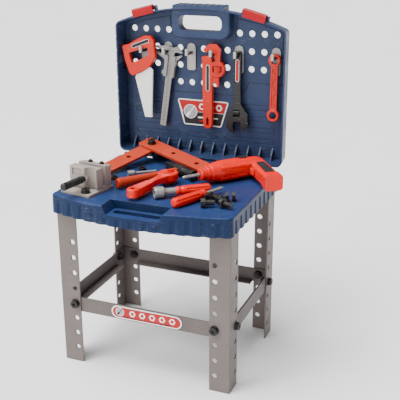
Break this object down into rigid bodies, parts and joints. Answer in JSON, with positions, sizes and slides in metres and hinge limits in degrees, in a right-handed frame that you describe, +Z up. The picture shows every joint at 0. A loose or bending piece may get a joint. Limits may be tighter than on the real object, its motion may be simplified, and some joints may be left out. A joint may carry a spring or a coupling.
{
  "type": "toy tool bench",
  "caption": "Toy workbench: fluted top on four perforated angle legs with bolted braces, hinged pegboard lid with hooks, hanging hand tools, vise, planks, drill and loose bolts.",
  "frame": {"origin": "centre of the overall box on the floor; it is 18.8 mm right of the bench's mid-plane, because the drill's handle overhangs the right edge of the top", "axes": "+Z up, -Y towards the child who plays at the front, +X to the right seen from the front"},
  "size_m": [0.392, 0.342, 0.654],
  "materials": {
    "blue_plastic": "moulded blue plastic, semi-gloss",
    "red_plastic": "glossy red plastic",
    "steel_pin": "plain steel",
    "grey_plastic": "warm grey plastic, matt",
    "black_plastic": "black plastic",
    "sign_print": "printed plate",
    "light_grey_plastic": "light grey plastic",
    "silver_plastic": "silver-grey plastic",
    "white_plastic": "white plastic",
    "orange_plastic": "orange-red plastic, semi-gloss",
    "dark_metal_plastic": "black and dark grey plastic",
    "brown_orange_plastic": "terracotta plastic, matt",
    "black_grip": "black grip pad"
  },
  "bodies": {
    "bench": {"table_shell": "blue_plastic", "hinge_pins": "steel_pin", "brace_back": "grey_plastic", "brace_bolts": "black_plastic", "brace_front": "grey_plastic", "brace_left": "grey_plastic", "brace_nuts": "black_plastic", "brace_plate": "sign_print", "brace_right": "grey_plastic", "leg_back_left": "grey_plastic", "leg_back_right": "grey_plastic", "leg_front_left": "grey_plastic", "leg_front_right": "grey_plastic", "vise_base": "light_grey_plastic", "vise_bolt": "black_plastic"},
    "lid": {"lid_shell": "blue_plastic", "latch_pins": "steel_pin", "lid_sign": "sign_print", "peg_hooks": "light_grey_plastic"},
    "latch_left": {"latch_left": "red_plastic"},
    "latch_right": {"latch_right": "red_plastic"},
    "saw": {"saw_handle": "orange_plastic", "saw_blade": "white_plastic"},
    "caliper": {"caliper_beam": "silver_plastic"},
    "caliper_slider": {"caliper_slider": "silver_plastic"},
    "pipe_wrench": {"pipe_wrench_body": "orange_plastic"},
    "pipe_wrench_jaw": {"pipe_wrench_jaw": "orange_plastic"},
    "pipe_wrench_wheel": {"pipe_wrench_wheel": "orange_plastic"},
    "adjustable_wrench": {"adjustable_wrench_body": "dark_metal_plastic"},
    "adjustable_wrench_jaw": {"adjustable_wrench_jaw": "dark_metal_plastic"},
    "adjustable_wrench_worm": {"adjustable_wrench_worm": "black_plastic"},
    "ring_spanner": {"ring_spanner": "orange_plastic"},
    "vise_jaw": {"vise_jaw": "light_grey_plastic"},
    "vise_screw": {"vise_screw": "black_plastic"},
    "plank_upper": {"plank_upper": "brown_orange_plastic", "plank_bolt": "black_plastic", "plank_nut": "black_plastic"},
    "plank_lower": {"plank_lower": "brown_orange_plastic"},
    "hammer": {"hammer_head": "black_plastic", "hammer_handle": "brown_orange_plastic"},
    "ratchet": {"ratchet_handle": "orange_plastic"},
    "ratchet_drive": {"ratchet_drive": "orange_plastic"},
    "ratchet_lever": {"ratchet_lever": "orange_plastic"},
    "small_nut_driver": {"small_nut_driver": "silver_plastic"},
    "nut_driver": {"nut_driver_shaft": "silver_plastic", "nut_driver_handle": "orange_plastic"},
    "screwdriver": {"screwdriver_shaft": "silver_plastic", "screwdriver_handle": "orange_plastic"},
    "drill": {"drill_body_upper": "orange_plastic", "drill_body_lower": "orange_plastic", "drill_grip_pad": "black_grip", "drill_badge": "sign_print", "drill_motor": "silver_plastic"},
    "drill_chuck": {"drill_chuck": "orange_plastic", "drill_bit": "silver_plastic"},
    "drill_trigger": {"drill_trigger": "orange_plastic"},
    "loose_fasteners": {"loose_bolts": "black_plastic", "loose_nuts": "black_plastic"}
  },
  "joints": [
    {"name": "lid_hinge", "type": "hinge", "parent": "bench", "child": "lid", "pos_m": [-0.0188, 0.133, 0.347], "axis": [1, 0, 0], "range_deg": [0, 20]},
    {"name": "latch_left_hinge", "type": "hinge", "parent": "lid", "child": "latch_left", "pos_m": [-0.13404, 0.143, 0.64026], "axis": [-0.9687, 0, -0.2484], "range_deg": [0, 95]},
    {"name": "latch_right_hinge", "type": "hinge", "parent": "lid", "child": "latch_right", "pos_m": [0.09644, 0.143, 0.64026], "axis": [-0.9687, 0, 0.2484], "range_deg": [0, 95]},
    {"name": "saw_swing", "type": "hinge", "parent": "lid", "child": "saw", "pos_m": [-0.1438, 0.1485, 0.5615], "axis": [0, 1, 0], "range_deg": [-4, 4]},
    {"name": "caliper_swing", "type": "hinge", "parent": "lid", "child": "caliper", "pos_m": [-0.0938, 0.1578, 0.5615], "axis": [0, 1, 0], "range_deg": [-4, 4]},
    {"name": "caliper_slide", "type": "slide", "parent": "caliper", "child": "caliper_slider", "axis": [-0.1409, 0, -0.99], "range_m": [0, 0.06]},
    {"name": "pipe_wrench_swing", "type": "hinge", "parent": "lid", "child": "pipe_wrench", "pos_m": [0.0062, 0.155, 0.5615], "axis": [0, 1, 0], "range_deg": [-4, 4]},
    {"name": "pipe_wrench_wheel_turn", "type": "hinge", "parent": "pipe_wrench", "child": "pipe_wrench_wheel", "pos_m": [0.0162, 0.155, 0.531], "axis": [0, 0, 1], "range_deg": [-2, 722]},
    {"name": "pipe_wrench_jaw_slide", "type": "slide", "parent": "pipe_wrench", "child": "pipe_wrench_jaw", "axis": [0, 0, 1], "range_m": [0, 0.006]},
    {"name": "adjustable_wrench_swing", "type": "hinge", "parent": "lid", "child": "adjustable_wrench", "pos_m": [0.0562, 0.156, 0.5615], "axis": [0, 1, 0], "range_deg": [-4, 4]},
    {"name": "adjustable_wrench_worm_turn", "type": "hinge", "parent": "adjustable_wrench", "child": "adjustable_wrench_worm", "pos_m": [0.0572, 0.1555, 0.4465], "axis": [1, 0, 0], "range_deg": [-182, 504]},
    {"name": "adjustable_wrench_jaw_slide", "type": "slide", "parent": "adjustable_wrench", "child": "adjustable_wrench_jaw", "axis": [1, 0, 0], "range_m": [-0.0014, 0.0039]},
    {"name": "ring_spanner_swing", "type": "hinge", "parent": "lid", "child": "ring_spanner", "pos_m": [0.1312, 0.1565, 0.5615], "axis": [0, 1, 0], "range_deg": [-4, 4]},
    {"name": "vise_jaw_slide", "type": "slide", "parent": "bench", "child": "vise_jaw", "axis": [-0.165, -0.9863, 0], "range_m": [-0.0083, 0.0095]},
    {"name": "vise_screw_turn", "type": "hinge", "parent": "vise_jaw", "child": "vise_screw", "pos_m": [-0.1408, -0.1, 0.367], "axis": [-0.165, -0.9863, 0], "range_deg": [-502, 574]},
    {"name": "planks_lift", "type": "slide", "parent": "bench", "child": "plank_upper", "axis": [0, 0, 1], "range_m": [0, 0.012]},
    {"name": "plank_pivot", "type": "hinge", "parent": "plank_upper", "child": "plank_lower", "pos_m": [-0.1114, 0.1138, 0.378], "axis": [0.0593, -0.1836, 0.9812], "range_deg": [-15, 0]},
    {"name": "hammer_lift", "type": "slide", "parent": "bench", "child": "hammer", "axis": [0, 0, 1], "range_m": [0, 0.03]},
    {"name": "ratchet_lift", "type": "slide", "parent": "bench", "child": "ratchet", "axis": [0, 0, 1], "range_m": [0, 0.03]},
    {"name": "small_nut_driver_lift", "type": "slide", "parent": "bench", "child": "small_nut_driver", "axis": [0, 0, 1], "range_m": [0, 0.03]},
    {"name": "nut_driver_lift", "type": "slide", "parent": "bench", "child": "nut_driver", "axis": [0, 0, 1], "range_m": [0, 0.03]},
    {"name": "screwdriver_lift", "type": "slide", "parent": "bench", "child": "screwdriver", "axis": [0, 0, 1], "range_m": [0, 0.03]},
    {"name": "drill_lift", "type": "slide", "parent": "bench", "child": "drill", "axis": [0, 0, 1], "range_m": [0, 0.03]},
    {"name": "loose_fasteners_lift", "type": "slide", "parent": "bench", "child": "loose_fasteners", "axis": [0, 0, 1], "range_m": [0, 0.03]},
    {"name": "ratchet_drive_spin", "type": "hinge", "parent": "ratchet", "child": "ratchet_drive", "pos_m": [-0.0178, -0.014, 0.35], "axis": [0, 0, 1], "continuous": true},
    {"name": "ratchet_lever_turn", "type": "hinge", "parent": "ratchet", "child": "ratchet_lever", "pos_m": [-0.0178, -0.014, 0.366], "axis": [0, 0, 1], "range_deg": [-25, 25]},
    {"name": "drill_chuck_spin", "type": "hinge", "parent": "drill", "child": "drill_chuck", "pos_m": [0.0412, 0, 0.3635], "axis": [0.6225, 0.7826, 0], "continuous": true},
    {"name": "drill_trigger_press", "type": "slide", "parent": "drill", "child": "drill_trigger", "axis": [0.8141, 0.5807, 0], "range_m": [0, 0.004], "stiffness_N_per_m": 400, "springref_m": -0.002}
  ],
  "couplings": [
    {"joint": "pipe_wrench_wheel_turn", "follows": "pipe_wrench_jaw_slide", "rad_per_m": 2094.4},
    {"joint": "adjustable_wrench_worm_turn", "follows": "adjustable_wrench_jaw_slide", "rad_per_m": 2244},
    {"joint": "vise_screw_turn", "follows": "vise_jaw_slide", "rad_per_m": 1047.2}
  ]
}
